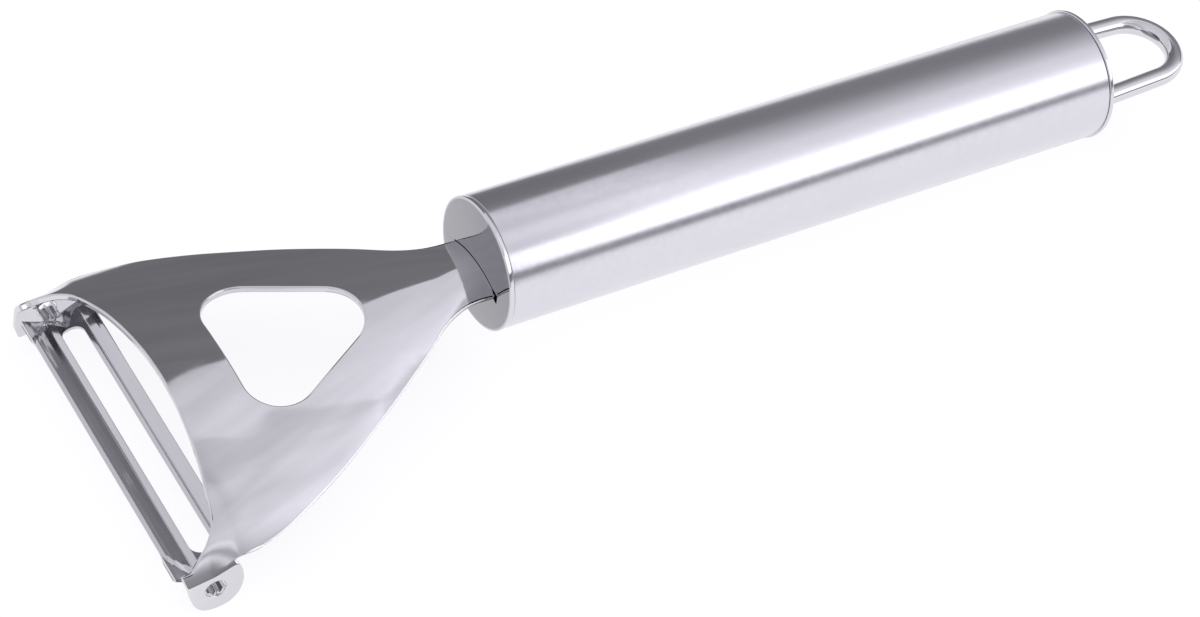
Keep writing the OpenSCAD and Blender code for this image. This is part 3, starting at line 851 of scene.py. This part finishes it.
# The studio is a soft tent round the object: a white panel low on the near side, a pale
# ceiling that greys towards the far side, and a dim far wall.
# brightness of the studio: round the handle's length in degrees from straight up, then along it
TENT = [(-120, 1.0), (-87, 1.05), (-84, 0.30), (-73, 0.22), (-70, 1.4), (-67, 1.9), (-43, 1.9), (-30, 1.13), (-17, 0.95), (-4, 0.90),
        (9, 0.68), (20, 0.54), (33, 0.40), (45, 0.30), (57, 0.26), (72, 0.25), (92, 0.25), (97, 0.45), (106, 0.95), (120, 1.0)]
CEILING = [(-1, 0.85), (0.0, 0.80), (0.12, 0.68), (0.17, 0.61), (0.20, 0.67), (0.22, 0.745), (0.25, 0.80), (0.29, 0.815), (0.31, 0.84),
           (0.33, 0.87), (0.35, 0.90), (0.37, 1.02), (0.40, 1.10), (1, 1.1)]
CEILING_NEAR = [(-1, 0.72), (-0.10, 0.58), (0.0, 0.57), (0.05, 0.66), (0.10, 0.67), (0.15, 0.65), (0.20, 0.70), (0.22, 0.745), (0.25, 0.80),
                (0.29, 0.815), (0.33, 0.87), (0.37, 1.02), (1, 1.1)]
NEAR_FALL = [(-1, 0.45), (-0.90, 0.55), (-0.83, 0.92), (-0.77, 1.35), (-0.71, 1.50), (-0.66, 1.22), (-0.60, 0.93), (-0.55, 0.95), (-0.50, 1.04), (-0.45, 1.12), (-0.40, 1.19),
             (-0.30, 1.29), (-0.20, 1.30), (-0.15, 1.25), (-0.10, 1.18), (-0.05, 1.08), (0.0, 1.0), (1, 1.0)]
SHELF = [(0.1, 1.0), (0.195, 1.0), (0.228, 1.20), (0.30, 1.16), (0.42, 1.08), (0.52, 1.02), (0.8, 1.0)]
FAR_WALL = [(0.4, 0.25), (0.6, 0.235), (0.8, 0.215), (1.0, 0.20)]
DARK_EDGE = (0.5565, 0.5735)

world = bpy.data.worlds.new("studio")
bpy.context.scene.world = world
world.use_nodes = True
wt = world.node_tree
wt.nodes.clear()


def w_node(kind, **kw):
    n = wt.nodes.new(kind)
    for key, v in kw.items():
        setattr(n, key, v)
    return n


def w_math(op, *args):
    n = w_node("ShaderNodeMath", operation=op)
    for i, v in enumerate(args):
        if isinstance(v, (int, float)):
            n.inputs[i].default_value = v
        else:
            wt.links.new(v, n.inputs[i])
    return n.outputs[0]


def w_step(v, a, b):
    """0 before a, 1 past b, smooth between."""
    n = w_node("ShaderNodeMapRange", interpolation_type="SMOOTHSTEP")
    n.inputs["From Min"].default_value, n.inputs["From Max"].default_value = a, b
    wt.links.new(v, n.inputs["Value"])
    return n.outputs[0]


def w_curve(v, lo, hi, stops, top=2.0):
    """Brightness looked up along v from lo to hi, straight between the stops."""
    n = w_node("ShaderNodeValToRGB")
    r = n.color_ramp
    r.interpolation = "LINEAR"
    while len(r.elements) < len(stops):
        r.elements.new(0.5)
    for e, (p, b) in zip(r.elements, sorted(stops)):
        e.position = (p - lo) / (hi - lo)
    for e, (p, b) in zip(r.elements, sorted(stops)):
        e.color = (b / top, b / top, b / top, 1)
    m = w_node("ShaderNodeMapRange")
    m.inputs["From Min"].default_value, m.inputs["From Max"].default_value = lo, hi
    wt.links.new(v, m.inputs["Value"])
    wt.links.new(m.outputs[0], n.inputs[0])
    return w_math("MULTIPLY", n.outputs[0], top)


def w_mix(f, a, b):
    n = w_node("ShaderNodeMix", data_type="FLOAT")
    for s, v in zip([i for i in n.inputs if i.type == "VALUE"], (f, a, b)):
        if isinstance(v, (int, float)):
            s.default_value = v
        else:
            wt.links.new(v, s)
    return n.outputs[0]


def w_dot(v):
    n = w_node("ShaderNodeVectorMath", operation="DOT_PRODUCT")
    wt.links.new(w_coord, n.inputs[0])
    n.inputs[1].default_value = v
    return n.outputs["Value"]


w_coord = w_node("ShaderNodeTexCoord").outputs["Generated"]
dx, dy, dz = w_dot(turn((1, 0, 0))), w_dot((0, 1, 0)), w_dot(turn((0, 0, 1)))
round_x = w_math("MULTIPLY", w_math("ARCTAN2", dy, dz), 180 / math.pi)   # 0 straight up, + to the far side
# the tent as the handle's length sees it
tent = w_curve(round_x, -120, 120, TENT)
# ceiling and far wall as the head sees them, brighter towards the handle
ceiling = w_mix(w_step(dy, -0.03, -0.13), w_curve(dx, -1, 1, CEILING), w_curve(dx, -1, 1, CEILING_NEAR))
ceiling = w_math("MULTIPLY", ceiling, w_curve(dy, -1, 1, NEAR_FALL))
edge = w_math("ADD", w_math("MULTIPLY", w_math("MAXIMUM", w_math("SUBTRACT", dx, 0.22), 0.0), 0.30),
              w_math("MULTIPLY", w_math("MAXIMUM", w_math("SUBTRACT", 0.14, dx), 0.0), 2.5))
# a second, fainter edge nearer straight up
shelf = w_math("ADD", dy, w_math("MULTIPLY", w_math("SUBTRACT", dx, 0.25), 1.55))
ceiling = w_math("MULTIPLY", ceiling, w_curve(shelf, 0.1, 0.8, SHELF))
# a small lamp low on the near side, seen where each arm starts to turn down
lamp = w_math("MULTIPLY", w_math("MULTIPLY", w_step(dx, -0.06, 0.03), w_step(dx, 0.12, 0.06)),
              w_math("MULTIPLY", w_step(dy, -0.58, -0.47), w_step(dy, -0.28, -0.40)))
ceiling = w_math("MULTIPLY", ceiling, w_mix(lamp, 1.0, 1.30))
wall = w_step(w_math("SUBTRACT", dy, edge), DARK_EDGE[0], DARK_EDGE[1])
low = w_step(dz, -0.14, -0.28)
far_part = w_mix(wall, ceiling, w_mix(low, w_curve(dy, 0.4, 1.0, FAR_WALL), 0.9))
panel = w_math("MAXIMUM", w_math("MULTIPLY", w_step(dx, 0.30, 0.34), w_step(dy, -0.43, -0.51)),
               w_math("MULTIPLY", w_step(dx, 0.16, 0.22), w_step(dy, -0.62, -0.68)))
level = w_mix(w_math("MAXIMUM", w_step(dx, 0.372, 0.392), panel), far_part, tent)
room, paper, pick, w_out = (w_node("ShaderNodeBackground"), w_node("ShaderNodeBackground"), w_node("ShaderNodeMixShader"),
                            w_node("ShaderNodeOutputWorld"))
room.inputs["Color"].default_value = (0.985, 0.975, 1.03, 1)
wt.links.new(level, room.inputs["Strength"])
# what the camera itself sees past the floor is plain white paper
paper.inputs["Color"].default_value, paper.inputs["Strength"].default_value = (1, 1, 1, 1), 1.0
wt.links.new(w_node("ShaderNodeLightPath").outputs["Is Camera Ray"], pick.inputs[0])
wt.links.new(room.outputs[0], pick.inputs[1])
wt.links.new(paper.outputs[0], pick.inputs[2])
wt.links.new(pick.outputs[0], w_out.inputs[0])
world.cycles.sampling_method = "MANUAL"
world.cycles.sample_map_resolution = 512

cam_data = bpy.data.cameras.new("camera")
cam_data.sensor_width = 36.0
cam_data.lens = 101.872
cam_data.clip_start, cam_data.clip_end = 0.01, 10
cam = bpy.data.objects.new("camera", cam_data)
bpy.context.scene.collection.objects.link(cam)
right = turn((0.86194375, -0.49281319, 0.11911392))
up = turn((0.28500127, 0.66526608, 0.69006907))
back = turn((-0.41931759, -0.56085311, 0.71387433))
loc = place((-189.60510, -284.49775, 343.37840))
cam.matrix_world = Matrix(((right[0], up[0], back[0], loc[0]), (right[1], up[1], back[1], loc[1]),
                           (right[2], up[2], back[2], loc[2]), (0, 0, 0, 1)))
bpy.context.scene.camera = cam
bpy.context.scene.view_settings.view_transform = "Standard"
